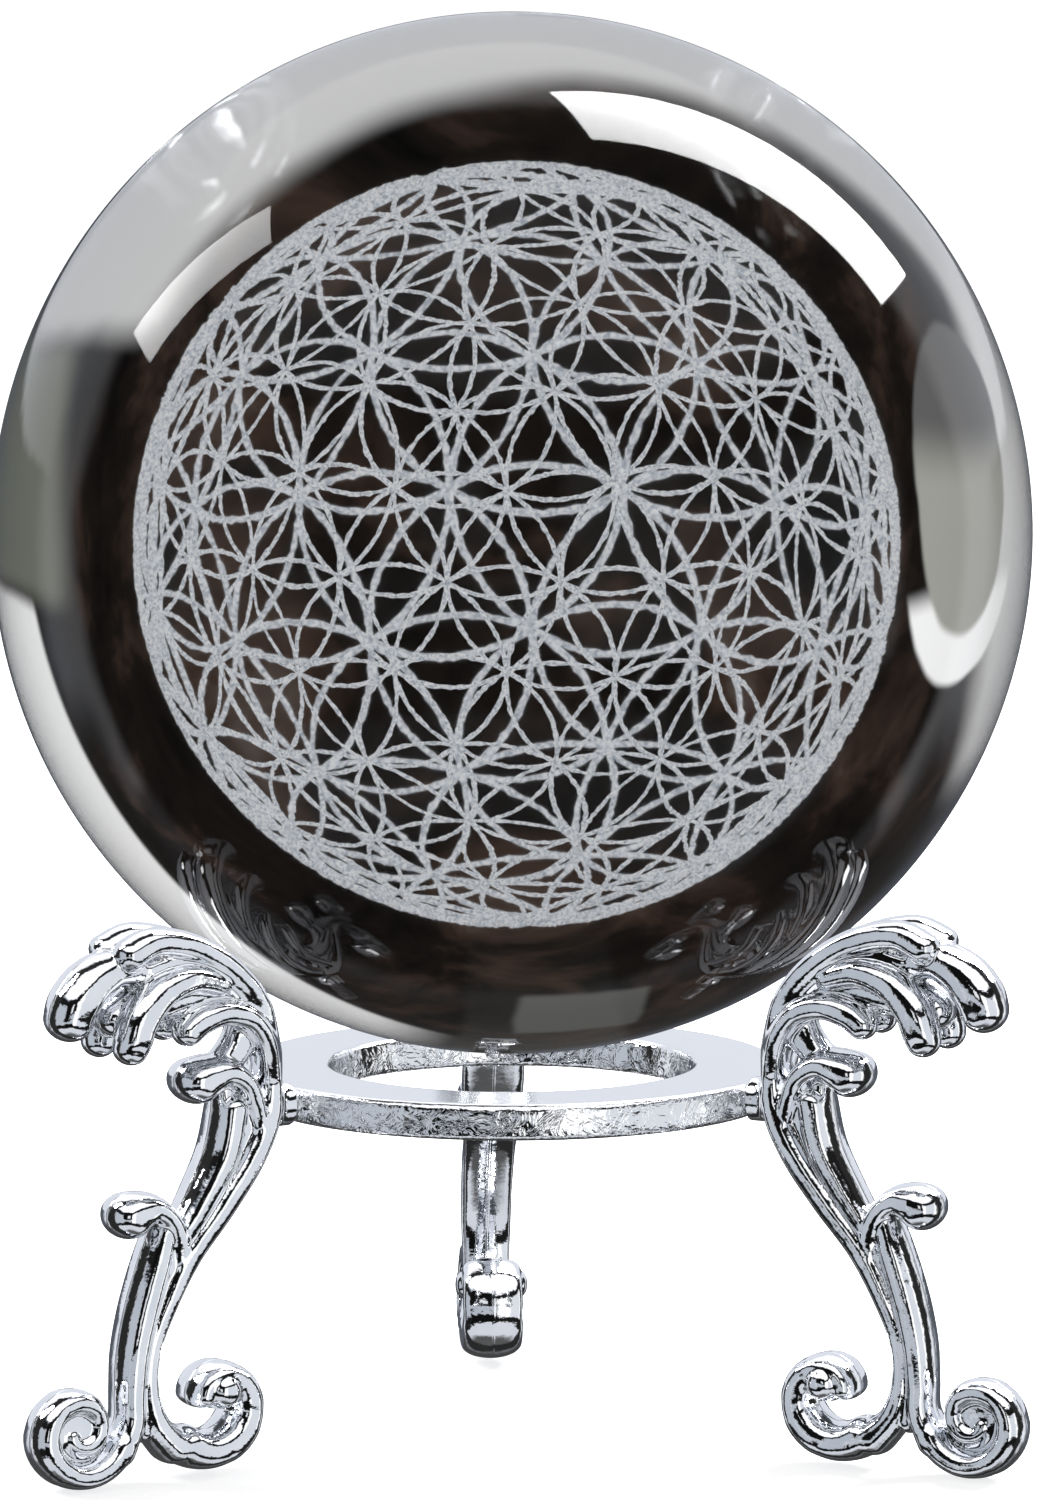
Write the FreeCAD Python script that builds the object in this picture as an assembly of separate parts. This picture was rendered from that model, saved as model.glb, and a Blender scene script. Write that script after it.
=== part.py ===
import FreeCAD, Part
import math
import os

# Crystal ball on a three-legged cast stand. Millimetres, +Z up, ground at z = 0,
# origin on the axis of the ring. The rear leg runs along +Y.

# Driving dimensions
BALL_RADIUS = 40.0
BALL_CENTRE_Z = 70.15
RING_INNER_RADIUS = 14.1
RING_OUTER_RADIUS = 20.6
RING_THICKNESS = 2.8
RING_TOP_Z = 29.1
RING_EDGE_ROUND = 0.5
BOSS_RADIUS = 1.7
BOSS_REACH = 4.0
STUD_DIAMETER = 2.0
STUD_PITCH = 0.4
STUD_THREAD_DEPTH = 0.22
STUD_INNER_END = 17.8
STUD_OUTER_END = 24.2
STUD_HOLE_CLEARANCE = 0.3
STUD_CREST_START = 0.44
STUD_CREST_END = 0.56
LEG_ANGLES = {"leg_rear": 90.0, "leg_left": 210.0, "leg_right": 330.0}
STUD_ANGLES = {"stud_rear": 90.0, "stud_left": 210.0, "stud_right": 330.0}

RING_MID_Z = RING_TOP_Z - RING_THICKNESS / 2

# How finely the strands are drawn
SECTION_POINTS = 12
SPANS_PER_STATION = 2
INNER_CURL_STATIONS = 12
OUTER_CURL_STATIONS = 17
START_CAP_ANGLES = (75, 45)
END_CAP_ANGLES = (30, 55, 76)

# How far cutting tools reach past what they cut
OVERLAP = 1.0
CUT_HEIGHT = 20.0
GROUND_CUT = (80.0, 40.0, 10.0)

# Each strand of a leg is a list of stations along its middle line:
# (distance from the axis, height, offset across the leg, half width, half depth).
# Width is measured in the leg's own upright plane and depth across it.
INNER_STEM = [
    (22.7, 31.2, 0.0, 0.80, 1.75),
    (22.9, 27.5, 0.0, 1.15, 2.30),
    (24.5, 24.1, 0.0, 1.25, 2.35),
    (27.1, 20.5, 0.0, 1.20, 2.20),
    (30.0, 16.9, 0.0, 1.10, 2.05),
    (32.1, 13.1, 0.0, 0.95, 1.90),
    (33.3, 10.0, 0.0, 0.85, 1.80),
    (33.5, 6.8, 0.0, 0.85, 1.80),
    (32.7, 4.1, 0.0, 1.10, 2.05),
    (31.2, 2.4, 0.0, 1.45, 2.45),
]
OUTER_STEM = [
    (26.1, 27.8, 0.0, 1.25, 2.20),
    (26.9, 24.5, 0.0, 1.20, 2.30),
    (28.8, 21.1, 0.0, 1.05, 2.10),
    (30.6, 18.4, 0.0, 0.90, 1.80),
    (31.9, 15.9, 0.0, 0.80, 1.50),
]
LOWER_STEM = [
    (32.0, 19.3, 0.0, 0.85, 1.70),
    (32.6, 17.3, 0.0, 1.10, 1.90),
    (33.3, 15.0, 0.0, 1.15, 1.95),
    (34.1, 12.4, 0.0, 1.15, 1.95),
    (34.7, 9.6, 0.0, 1.10, 1.90),
    (34.9, 6.9, 0.0, 1.05, 1.85),
    (35.0, 4.6, 0.0, 1.05, 1.90),
    (36.1, 2.5, 0.0, 1.20, 2.10),
]
UPPER_SCROLL = [
    (23.7, 25.7, 0.0, 0.75, 2.25),
    (24.2, 28.0, 0.0, 0.85, 2.35),
    (25.1, 29.8, 0.0, 1.00, 2.40),
    (26.7, 30.8, 0.0, 1.20, 2.45),
    (28.4, 30.5, 0.0, 1.55, 2.55),
    (29.3, 29.8, 0.0, 1.65, 2.40),
]
LOWER_SCROLL = [
    (30.9, 15.5, 0.0, 0.75, 1.85),
    (30.9, 17.8, 0.0, 0.90, 1.95),
    (31.6, 19.7, 0.0, 1.00, 2.00),
    (33.0, 20.8, 0.0, 1.15, 2.10),
    (34.5, 20.6, 0.0, 1.50, 2.20),
    (35.4, 20.1, 0.0, 1.65, 2.10),
]
SHOULDER = [
    (22.6, 29.4, 0.0, 0.90, 2.10),
    (22.7, 31.8, 0.0, 1.05, 2.20),
    (23.6, 34.4, 0.0, 1.10, 2.35),
    (25.4, 36.8, 0.0, 1.10, 2.60),
    (28.1, 38.8, 0.0, 1.10, 2.80),
    (31.0, 39.7, 0.0, 1.05, 2.70),
    (33.5, 39.2, 0.0, 1.00, 2.40),
]
TOP_FINGER = [
    (22.5, 32.0, 0.9, 0.80, 0.85),
    (23.7, 35.6, 1.2, 0.95, 1.15),
    (26.2, 38.5, 1.4, 1.05, 1.30),
    (29.7, 40.7, 1.5, 1.05, 1.35),
    (33.3, 41.4, 1.6, 1.10, 1.45),
    (35.9, 40.4, 1.7, 1.15, 1.45),
]
MIDDLE_FINGER = [
    (33.5, 38.8, 0.0, 1.20, 1.75),
    (36.0, 39.4, 0.0, 1.45, 2.05),
    (38.0, 38.6, 0.0, 1.70, 2.20),
    (39.5, 37.1, 0.0, 1.80, 2.25),
    (40.1, 35.5, 0.0, 1.70, 2.05),
]
SIDE_FINGER = [
    (27.7, 37.7, 1.7, 0.90, 1.00),
    (30.4, 38.4, 2.1, 1.10, 1.30),
    (33.1, 37.7, 2.3, 1.25, 1.50),
    (35.0, 35.9, 2.4, 1.40, 1.60),
    (35.7, 34.0, 2.4, 1.35, 1.55),
    (35.9, 33.1, 2.3, 1.20, 1.35),
]
INNER_FINGER = [
    (22.7, 30.3, 1.2, 0.70, 1.00),
    (23.2, 32.7, 1.4, 0.80, 1.15),
    (24.8, 34.7, 1.6, 0.90, 1.25),
    (27.2, 35.5, 1.7, 1.00, 1.30),
    (29.5, 35.1, 1.8, 1.10, 1.35),
    (30.9, 34.0, 1.8, 1.05, 1.30),
]
CREST_WEB = [
    (24.8, 35.9, 0.0, 1.20, 1.65),
    (27.7, 37.1, 0.0, 1.55, 2.05),
    (30.9, 37.0, 0.0, 2.05, 2.25),
    (33.8, 36.4, 0.0, 1.85, 2.25),
    (35.9, 35.4, 0.0, 1.55, 1.75),
]
STEM_WEB = [
    (24.1, 28.3, 0.0, 1.20, 1.30),
    (25.9, 24.3, 0.0, 1.45, 1.40),
    (28.6, 20.4, 0.0, 1.25, 1.40),
    (31.3, 16.7, 0.0, 1.00, 1.35),
    (33.2, 13.1, 0.0, 0.80, 1.35),
    (34.2, 9.2, 0.0, 0.70, 1.30),
    (34.2, 5.3, 0.0, 0.90, 1.40),
    (34.0, 3.8, 0.0, 0.90, 1.40),
]
THROAT_WEB = [
    (24.4, 34.2, 0.0, 1.30, 1.15),
    (24.9, 33.0, 0.0, 1.30, 1.20),
    (25.8, 31.9, 0.0, 1.20, 1.25),
    (27.2, 31.1, 0.0, 0.80, 1.20),
]
SCROLL_WEB = [
    (25.9, 30.2, 0.0, 0.60, 1.10),
    (26.4, 29.3, 0.0, 0.75, 1.15),
    (26.6, 28.1, 0.0, 0.60, 1.20),
]

# Foot curls: strands that follow a spiral with its radius shrinking evenly.
INNER_CURL_CENTRE = (27.7, 5.4)
INNER_CURL_RADII = (3.95, 1.35)
INNER_CURL_ANGLES = (-52.0, -335.0)
INNER_CURL_HALF_WIDTHS = (1.60, 0.90)
INNER_CURL_HALF_DEPTHS = (2.60, 2.25)
INNER_BALL_CENTRE = (27.3, 6.4)
INNER_BALL_RADIUS = 1.60
INNER_BALL_OFFSET = 1.15
OUTER_CURL_CENTRE = (39.6, 4.4)
OUTER_CURL_RADII = (3.85, 0.75)
OUTER_CURL_ANGLES = (-158.0, 330.0)
OUTER_CURL_HALF_WIDTHS = (1.15, 0.65)
OUTER_CURL_HALF_DEPTHS = (2.15, 1.30)
OUTER_CURL_WEB_RADIUS = 2.55
OUTER_CURL_WEB_HALF_DEPTH = 1.15


def spiral(centre, radii, angles, half_widths, half_depths, count):
    stations = []
    for step in range(count):
        part = step / (count - 1)
        angle = math.radians(angles[0] + (angles[1] - angles[0]) * part)
        radius = radii[0] + (radii[1] - radii[0]) * part
        out = centre[0] + radius * math.cos(angle)
        up = centre[1] + radius * math.sin(angle)
        width = half_widths[0] + (half_widths[1] - half_widths[0]) * part
        depth = half_depths[0] + (half_depths[1] - half_depths[0]) * part
        stations.append((out, up, 0.0, width, depth))
    return stations


def blend(before, start, end, after, part):
    # Catmull-Rom: an even curve through start and end.
    square = part * part
    cube = square * part
    return 0.5 * (
        2 * start
        + (end - before) * part
        + (2 * before - 5 * start + 4 * end - after) * square
        + (3 * start - before - 3 * end + after) * cube
    )


def refine(stations, per_span):
    last = len(stations) - 1
    result = []
    for index in range(last):
        before = stations[max(index - 1, 0)]
        start = stations[index]
        end = stations[index + 1]
        after = stations[min(index + 2, last)]
        for step in range(per_span):
            part = step / per_span
            result.append(tuple(blend(*values, part) for values in zip(before, start, end, after)))
    result.append(tuple(stations[last]))
    return result


def section(centre, along, half_width, half_depth):
    across = FreeCAD.Vector(0, 1, 0)
    side = along.cross(across)
    side.normalize()
    deep = side.cross(along)
    deep.normalize()
    points = []
    for step in range(SECTION_POINTS):
        angle = 2 * math.pi * step / SECTION_POINTS
        reach = side * (half_width * math.cos(angle)) + deep * (half_depth * math.sin(angle))
        points.append(centre + reach)
    curve = Part.BSplineCurve()
    curve.interpolate(Points=points, PeriodicFlag=True)
    return Part.Wire(curve.toShape())


def cap_section(centre, along, half_width, half_depth, angle):
    # One ring of a rounded end; a negative angle lies behind the centre.
    turn = math.radians(angle)
    scale = math.cos(turn)
    at = centre + along * (half_width * math.sin(turn))
    return section(at, along, half_width * scale, half_depth * scale)


def strand(stations, mirrored=False, per_span=SPANS_PER_STATION):
    stations = refine(stations, per_span)
    sign = -1.0 if mirrored else 1.0
    centres = [FreeCAD.Vector(s[0], sign * s[2], s[1]) for s in stations]
    count = len(centres)
    rings = []
    for index in range(count):
        before = centres[max(index - 1, 0)]
        after = centres[min(index + 1, count - 1)]
        along = after - before
        along.normalize()
        half_width = stations[index][3]
        half_depth = stations[index][4]
        if index == 0:
            for angle in START_CAP_ANGLES:
                rings.append(cap_section(centres[0], along, half_width, half_depth, -angle))
        rings.append(section(centres[index], along, half_width, half_depth))
        if index == count - 1:
            for angle in END_CAP_ANGLES:
                rings.append(cap_section(centres[-1], along, half_width, half_depth, angle))
    return Part.makeLoft(rings, True, False)


def make_leg():
    inner_curl = spiral(
        INNER_CURL_CENTRE,
        INNER_CURL_RADII,
        INNER_CURL_ANGLES,
        INNER_CURL_HALF_WIDTHS,
        INNER_CURL_HALF_DEPTHS,
        INNER_CURL_STATIONS,
    )
    outer_curl = spiral(
        OUTER_CURL_CENTRE,
        OUTER_CURL_RADII,
        OUTER_CURL_ANGLES,
        OUTER_CURL_HALF_WIDTHS,
        OUTER_CURL_HALF_DEPTHS,
        OUTER_CURL_STATIONS,
    )
    single = (INNER_STEM, OUTER_STEM, LOWER_STEM, STEM_WEB, UPPER_SCROLL, LOWER_SCROLL)
    single += (SHOULDER, MIDDLE_FINGER, CREST_WEB, THROAT_WEB, SCROLL_WEB)
    lobes = [strand(stations) for stations in single]
    for stations in (TOP_FINGER, SIDE_FINGER, INNER_FINGER):
        lobes.append(strand(stations))
        lobes.append(strand(stations, mirrored=True))
    lobes.append(strand(inner_curl, per_span=1))
    lobes.append(strand(outer_curl, per_span=1))
    for offset in (-INNER_BALL_OFFSET, INNER_BALL_OFFSET):
        ball_at = FreeCAD.Vector(INNER_BALL_CENTRE[0], offset, INNER_BALL_CENTRE[1])
        lobes.append(Part.makeSphere(INNER_BALL_RADIUS, ball_at))
    web_at = FreeCAD.Vector(OUTER_CURL_CENTRE[0], -OUTER_CURL_WEB_HALF_DEPTH, OUTER_CURL_CENTRE[1])
    across = FreeCAD.Vector(0, 1, 0)
    lobes.append(Part.makeCylinder(OUTER_CURL_WEB_RADIUS, 2 * OUTER_CURL_WEB_HALF_DEPTH, web_at, across))
    outward = FreeCAD.Vector(1, 0, 0)
    inner_end = FreeCAD.Vector(RING_OUTER_RADIUS - OVERLAP, 0, RING_MID_Z)
    lobes.append(Part.makeCylinder(BOSS_RADIUS, BOSS_REACH, inner_end, outward))
    leg = lobes[0]
    for lobe in lobes[1:]:
        leg = leg.fuse(lobe)
    # the boss butts on the ring's edge
    room_at = FreeCAD.Vector(0, 0, RING_MID_Z - CUT_HEIGHT / 2)
    leg = leg.cut(Part.makeCylinder(RING_OUTER_RADIUS, CUT_HEIGHT, room_at))
    # small flat under the outer curl
    ground_at = FreeCAD.Vector(0, -GROUND_CUT[1] / 2, -GROUND_CUT[2])
    leg = leg.cut(Part.makeBox(*GROUND_CUT, ground_at))
    hole_length = STUD_OUTER_END + STUD_HOLE_CLEARANCE - RING_OUTER_RADIUS + OVERLAP
    return leg.cut(Part.makeCylinder(STUD_DIAMETER / 2, hole_length, inner_end, outward))


def make_ring():
    bottom = RING_TOP_Z - RING_THICKNESS
    blank = Part.makeCylinder(RING_OUTER_RADIUS, RING_THICKNESS, FreeCAD.Vector(0, 0, bottom))
    bore_at = FreeCAD.Vector(0, 0, bottom - OVERLAP)
    ring = blank.cut(Part.makeCylinder(RING_INNER_RADIUS, RING_THICKNESS + 2 * OVERLAP, bore_at))
    rims = [edge for edge in ring.Edges if edge.Curve.TypeId == "Part::GeomCircle"]
    ring = ring.makeFillet(RING_EDGE_ROUND, rims)
    hole_start = STUD_INNER_END - STUD_HOLE_CLEARANCE
    hole_length = RING_OUTER_RADIUS + OVERLAP - hole_start
    for angle in STUD_ANGLES.values():
        turn = math.radians(angle)
        outward = FreeCAD.Vector(math.cos(turn), math.sin(turn), 0)
        hole_at = outward * hole_start + FreeCAD.Vector(0, 0, RING_MID_Z)
        ring = ring.cut(Part.makeCylinder(STUD_DIAMETER / 2, hole_length, hole_at, outward))
    return ring


def make_stud():
    # Threads drawn as ring-shaped grooves at the thread's pitch.
    major = STUD_DIAMETER / 2
    minor = major - STUD_THREAD_DEPTH
    length = STUD_OUTER_END - STUD_INNER_END
    turns = int(round(length / STUD_PITCH))
    outline = [FreeCAD.Vector(STUD_INNER_END, 0, 0), FreeCAD.Vector(STUD_INNER_END, 0, minor)]
    for turn in range(turns):
        start = STUD_INNER_END + turn * STUD_PITCH
        outline.append(FreeCAD.Vector(start + STUD_PITCH * STUD_CREST_START, 0, major))
        outline.append(FreeCAD.Vector(start + STUD_PITCH * STUD_CREST_END, 0, major))
        outline.append(FreeCAD.Vector(start + STUD_PITCH, 0, minor))
    outline.append(FreeCAD.Vector(STUD_OUTER_END, 0, 0))
    outline.append(outline[0])
    face = Part.Face(Part.makePolygon(outline))
    stud = face.revolve(FreeCAD.Vector(0, 0, 0), FreeCAD.Vector(1, 0, 0), 360)
    stud.translate(FreeCAD.Vector(0, 0, RING_MID_Z))
    return stud


def turned(shape, degrees):
    copy = shape.copy()
    copy.rotate(FreeCAD.Vector(0, 0, 0), FreeCAD.Vector(0, 0, 1), degrees)
    return copy


os.makedirs("parts", exist_ok=True)
leg_shape = make_leg()
for name, degrees in LEG_ANGLES.items():
    turned(leg_shape, degrees).exportStep("parts/" + name + ".step")
stud_shape = make_stud()
for name, degrees in STUD_ANGLES.items():
    turned(stud_shape, degrees).exportStep("parts/" + name + ".step")
make_ring().exportStep("parts/seat_ring.step")
ball = Part.makeSphere(BALL_RADIUS, FreeCAD.Vector(0, 0, BALL_CENTRE_Z))
ball.exportStep("parts/crystal_ball.step")
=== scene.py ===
import math

import bmesh
import bpy
import numpy as np
from mathutils import Euler, Matrix, Vector, noise


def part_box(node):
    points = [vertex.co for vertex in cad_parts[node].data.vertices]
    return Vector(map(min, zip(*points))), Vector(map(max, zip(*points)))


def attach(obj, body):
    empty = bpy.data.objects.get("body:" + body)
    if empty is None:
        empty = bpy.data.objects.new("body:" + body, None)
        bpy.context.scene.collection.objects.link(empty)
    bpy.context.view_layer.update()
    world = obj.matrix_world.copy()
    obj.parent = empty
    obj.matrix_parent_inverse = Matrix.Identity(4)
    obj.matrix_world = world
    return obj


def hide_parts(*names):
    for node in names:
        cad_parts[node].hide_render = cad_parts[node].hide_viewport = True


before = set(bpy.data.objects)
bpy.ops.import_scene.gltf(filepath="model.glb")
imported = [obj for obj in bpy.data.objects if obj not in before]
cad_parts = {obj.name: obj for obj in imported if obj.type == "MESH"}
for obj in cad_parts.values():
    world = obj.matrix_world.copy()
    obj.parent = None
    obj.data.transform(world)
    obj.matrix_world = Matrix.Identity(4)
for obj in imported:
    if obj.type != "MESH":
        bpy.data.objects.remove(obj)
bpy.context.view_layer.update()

MM = 0.001

# ---------------------------------------------------------------- sizes, from the frame
ball_low, ball_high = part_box("crystal_ball")
ring_low, ring_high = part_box("seat_ring")
BALL_RADIUS = (ball_high[0] - ball_low[0]) / 2
BALL_CENTRE = Vector((0.0, 0.0, (ball_high[2] + ball_low[2]) / 2))
RING_OUTER = (ring_high[0] - ring_low[0]) / 2
RING_TOP = ring_high[2]
RING_BOTTOM = ring_low[2]
RING_MID = (RING_TOP + RING_BOTTOM) / 2
LEG_ANGLES = {"leg_rear": 90.0, "leg_left": 210.0, "leg_right": 330.0}

# ---------------------------------------------------------------- the legs' strands
# Each strand is a list of stations along its middle line, in millimetres in the leg's
# upright plane: (distance from the axis, height, offset across, half width, half depth).
INNER_STEM = [
    (22.75, 31.2, 0.0, 0.80, 1.75),
    (22.95, 27.5, 0.0, 1.15, 2.25),
    (24.6, 24.1, 0.0, 1.25, 2.50),
    (27.2, 20.5, 0.0, 1.20, 2.35),
    (30.1, 16.9, 0.0, 1.10, 2.10),
    (32.2, 13.1, 0.0, 0.95, 1.95),
    (33.4, 10.0, 0.0, 0.85, 1.85),
    (33.6, 6.8, 0.0, 0.85, 1.85),
    (32.8, 4.1, 0.0, 1.10, 2.10),
    (31.2, 2.4, 0.0, 1.45, 2.45),
]
OUTER_STEM = [
    (26.1, 27.8, 0.0, 1.25, 2.20),
    (26.9, 24.5, 0.0, 1.20, 2.30),
    (28.8, 21.1, 0.0, 1.05, 2.10),
    (30.6, 18.4, 0.0, 0.85, 1.80),
    (31.9, 15.9, 0.0, 0.60, 1.50),
]
LOWER_STEM = [
    (32.0, 19.3, 0.0, 0.85, 1.70),
    (32.6, 17.3, 0.0, 1.10, 1.95),
    (33.4, 15.0, 0.0, 1.15, 2.05),
    (34.2, 12.4, 0.0, 1.15, 2.05),
    (34.8, 9.6, 0.0, 1.10, 2.00),
    (35.0, 6.9, 0.0, 1.05, 1.90),
    (35.1, 4.6, 0.0, 1.05, 1.95),
    (36.1, 2.5, 0.0, 1.20, 2.10),
]
UPPER_SCROLL = [
    (23.8, 25.7, 0.0, 0.70, 2.20),
    (24.3, 28.0, 0.0, 0.85, 2.35),
    (25.1, 29.8, 0.0, 1.00, 2.40),
    (26.7, 30.8, 0.0, 1.20, 2.45),
    (28.2, 30.5, 0.0, 1.55, 2.50),
    (28.9, 30.2, 0.0, 1.76, 2.50),
]
LOWER_SCROLL = [
    (31.0, 15.3, 0.0, 0.60, 1.75),
    (30.9, 17.8, 0.0, 0.88, 1.95),
    (31.6, 19.7, 0.0, 1.00, 2.00),
    (33.0, 20.8, 0.0, 1.15, 2.10),
    (34.3, 20.7, 0.0, 1.52, 2.30),
    (34.9, 20.4, 0.0, 1.76, 2.30),
]
SHOULDER = [
    (22.7, 29.4, 0.0, 0.90, 2.00),
    (22.8, 31.8, 0.0, 1.05, 2.10),
    (23.7, 34.4, 0.0, 1.10, 2.25),
    (25.5, 36.8, 0.0, 1.10, 2.40),
    (28.1, 38.8, 0.0, 1.10, 2.50),
    (31.0, 39.7, 0.0, 1.05, 2.30),
    (33.5, 39.2, 0.0, 1.00, 2.00),
]
TOP_FINGER = [
    (22.6, 32.0, 0.9, 0.75, 0.85),
    (23.8, 35.6, 1.2, 0.90, 1.15),
    (26.3, 38.5, 1.4, 1.00, 1.30),
    (29.7, 40.6, 1.5, 1.05, 1.35),
    (33.3, 41.4, 1.6, 1.12, 1.45),
    (35.6, 40.6, 1.7, 1.18, 1.45),
]
MIDDLE_FINGER = [
    (33.5, 38.8, 0.0, 1.20, 1.75),
    (36.0, 39.4, 0.0, 1.45, 2.05),
    (38.0, 38.6, 0.0, 1.70, 2.20),
    (39.4, 37.1, 0.0, 1.80, 2.25),
    (39.9, 35.9, 0.0, 1.75, 2.10),
]
SIDE_FINGER = [
    (27.7, 37.7, 1.7, 0.80, 1.00),
    (30.4, 38.4, 2.1, 1.05, 1.30),
    (33.1, 37.7, 2.3, 1.25, 1.50),
    (35.0, 35.9, 2.4, 1.38, 1.60),
    (35.7, 34.2, 2.4, 1.35, 1.55),
    (35.9, 33.6, 2.3, 1.28, 1.45),
]
INNER_FINGER = [
    (22.9, 30.3, 1.2, 0.70, 1.00),
    (23.4, 32.7, 1.4, 0.80, 1.15),
    (24.9, 34.7, 1.6, 0.90, 1.25),
    (27.2, 35.5, 1.7, 1.00, 1.30),
    (29.4, 35.1, 1.8, 1.10, 1.35),
    (30.6, 34.3, 1.8, 1.08, 1.30),
]
CREST_WEB = [
    (24.8, 35.9, 0.0, 1.10, 1.55),
    (27.7, 37.1, 0.0, 1.45, 1.90),
    (30.9, 37.0, 0.0, 1.95, 2.00),
    (33.8, 36.4, 0.0, 1.75, 2.00),
    (35.9, 35.6, 0.0, 1.45, 1.60),
]
STEM_WEB = [
    (24.1, 28.3, 0.0, 1.20, 1.45),
    (25.9, 24.3, 0.0, 1.45, 1.60),
    (28.6, 20.4, 0.0, 1.25, 1.55),
    (31.3, 16.7, 0.0, 1.00, 1.50),
    (33.2, 13.1, 0.0, 0.80, 1.45),
    (34.2, 9.2, 0.0, 0.70, 1.40),
    (34.3, 5.3, 0.0, 0.90, 1.50),
    (34.1, 3.8, 0.0, 0.90, 1.50),
]
THROAT_WEB = [
    (24.4, 34.2, 0.0, 1.45, 1.25),
    (24.9, 33.0, 0.0, 1.40, 1.30),
    (25.8, 31.9, 0.0, 1.25, 1.35),
    (27.2, 31.1, 0.0, 0.80, 1.30),
]
SCROLL_WEB = [
    (26.0, 30.0, 0.0, 0.60, 1.25),
    (26.5, 29.3, 0.0, 0.75, 1.30),
    (26.7, 28.2, 0.0, 0.60, 1.40),
]
STRAND_STEPS = 8
FUSION = 0.22  # how far two strands blend where they meet
# A strand's section is a superellipse: flat-sided in the leg's plane, rounder across it.
WIDE_POWER = 3.0
DEEP_POWER = 1.9
GENTLEST_SLOPE = 0.25
TINY = 1e-6

# Foot curls: spirals whose radius changes evenly with the angle, cut into overlapping arcs.
# Each is (centre, start and end radius, start and end angle, half widths, half depths).
INNER_CURL = ((27.7, 5.4), (3.95, 1.35), (-52.0, -335.0), (1.60, 0.90), (2.45, 2.25))
OUTER_CURL = ((39.6, 4.4), (3.85, 0.75), (-158.0, 330.0), (1.15, 0.65), (2.15, 1.30))
CURL_POINTS = 72
CURL_ARC_POINTS = 18
CURL_OVERLAP = 4
# The knobs that end the curls: (distance, height, half width, half depth).
INNER_KNOB = (27.3, 6.4, 1.60, 2.90)
OUTER_KNOB = (39.6, 4.4, 2.60, 1.05)
KNOB_LENGTH = 0.01

BOSS_RADIUS = 1.7
BOSS_END = 24.0
BOSS_FUSION = 0.5
# The box in which the leg's field is worked out, in millimetres, and the field outside all strands.
FIELD_INWARD = 1.2
FIELD_OUT = 44.6
FIELD_LOW = -0.6
FIELD_HIGH = 43.6
FIELD_SIDE = 4.6
FIELD_MARGIN = 1.2
FAR_AWAY = 9.0
FINE_STEP = 0.16
SETTLE_ROUNDS = 3


def catmull(before, start, end, after, part):
    """A smooth curve from start to end that heads the way its neighbours say."""
    square = part * part
    cube = square * part
    return 0.5 * (
        2 * start
        + (end - before) * part
        + (2 * before - 5 * start + 4 * end - after) * square
        + (3 * start - before - 3 * end + after) * cube
    )


def refined(stations):
    """The stations with smooth steps in between."""
    rows = np.array(stations, float)
    last = len(rows) - 1
    out = []
    for index in range(last):
        before = rows[max(index - 1, 0)]
        after = rows[min(index + 2, last)]
        for step in range(STRAND_STEPS):
            part = step / STRAND_STEPS
            out.append(catmull(before, rows[index], rows[index + 1], after, part))
    out.append(rows[last])
    return np.array(out)


def spiral_arcs(centre, radii, angles, widths, depths):
    """A foot curl as overlapping arcs, so that its turns blend instead of hiding each other."""
    parts = np.linspace(0.0, 1.0, CURL_POINTS)
    angle = np.radians(angles[0] + (angles[1] - angles[0]) * parts)
    radius = radii[0] + (radii[1] - radii[0]) * parts
    rows = np.stack(
        [
            centre[0] + radius * np.cos(angle),
            centre[1] + radius * np.sin(angle),
            np.zeros(CURL_POINTS),
            widths[0] + (widths[1] - widths[0]) * parts,
            depths[0] + (depths[1] - depths[0]) * parts,
        ],
        axis=1,
    )
    arcs = []
    for start in range(0, CURL_POINTS - 1, CURL_ARC_POINTS):
        first = max(start - CURL_OVERLAP, 0)
        last = min(start + CURL_ARC_POINTS + CURL_OVERLAP, CURL_POINTS - 1)
        arcs.append(rows[first : last + 1])
    return arcs


def strand_field(rows, flat, across):
    """Signed distance, roughly, of a strand: flat is the plane's grid, across the depths."""
    best = np.full(flat.shape[0], np.inf)
    near = np.zeros((flat.shape[0], 4))
    for a, b in zip(rows[:-1], rows[1:]):
        link = b[:2] - a[:2]
        square = link @ link
        part = np.clip(((flat - a[:2]) @ link) / square, 0.0, 1.0)
        gap = flat - a[:2] - part[:, None] * link
        distance = np.sqrt((gap**2).sum(axis=1))
        values = a[None, 2:] + part[:, None] * (b - a)[None, 2:]
        score = distance - values[:, 1]
        closer = score < best
        best = np.where(closer, score, best)
        near[closer, 0] = distance[closer]
        near[closer, 1:] = values[closer]
    distance, offset, width, depth = (near[:, i][:, None] for i in range(4))
    wide = distance / width
    deep = np.abs(across[None, :] - offset) / depth
    total = np.maximum(wide**WIDE_POWER + deep**DEEP_POWER, TINY)
    middle_power = (WIDE_POWER + DEEP_POWER) / 2
    reach = total ** (1.0 / middle_power)
    rise_wide = WIDE_POWER * wide ** (WIDE_POWER - 1.0) / width
    rise_deep = DEEP_POWER * deep ** (DEEP_POWER - 1.0) / depth
    slope = np.sqrt(rise_wide**2 + rise_deep**2) * reach / (middle_power * total)
    return (reach - 1.0) / np.maximum(slope, GENTLEST_SLOPE)


def smooth_min(a, b, k):
    """The smaller of two fields, blended over a width of k."""
    part = np.clip(0.5 + 0.5 * (b - a) / k, 0.0, 1.0)
    return b + (a - b) * part - k * part * (1.0 - part)


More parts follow.
